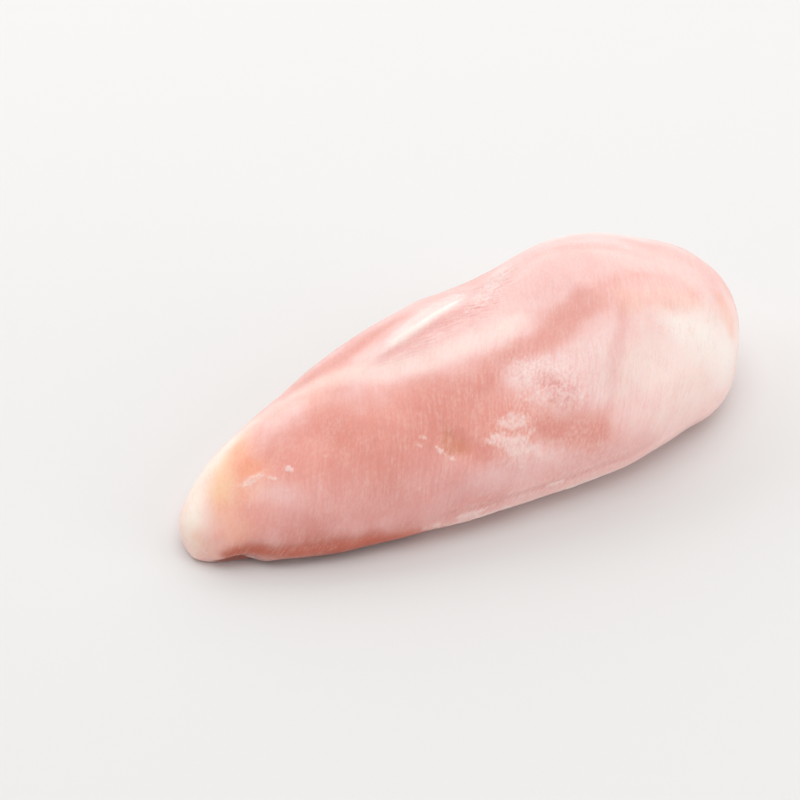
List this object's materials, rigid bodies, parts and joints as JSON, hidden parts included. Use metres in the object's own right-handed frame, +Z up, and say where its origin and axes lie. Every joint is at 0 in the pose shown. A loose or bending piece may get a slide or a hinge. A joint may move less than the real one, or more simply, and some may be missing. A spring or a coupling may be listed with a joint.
{
  "type": "raw chicken breast",
  "caption": "Raw, boned and skinned chicken breast, a tapered teardrop of pale pink muscle lying flat on its rib side.",
  "frame": {"origin": "middle of the outline on the surface that the meat lies on", "axes": "+Z up, +X along the length from the thin tip to the thick end, -Y towards the full front flank"},
  "size_m": [0.1764, 0.0816, 0.0429],
  "materials": {
    "raw_flesh": "moist, translucent pale pink flesh with a soft wet gloss, faint muscle fibres and creamy patches of thin membrane and fat"
  },
  "bodies": {
    "root": {"chicken_breast": "raw_flesh"}
  },
  "joints": []
}
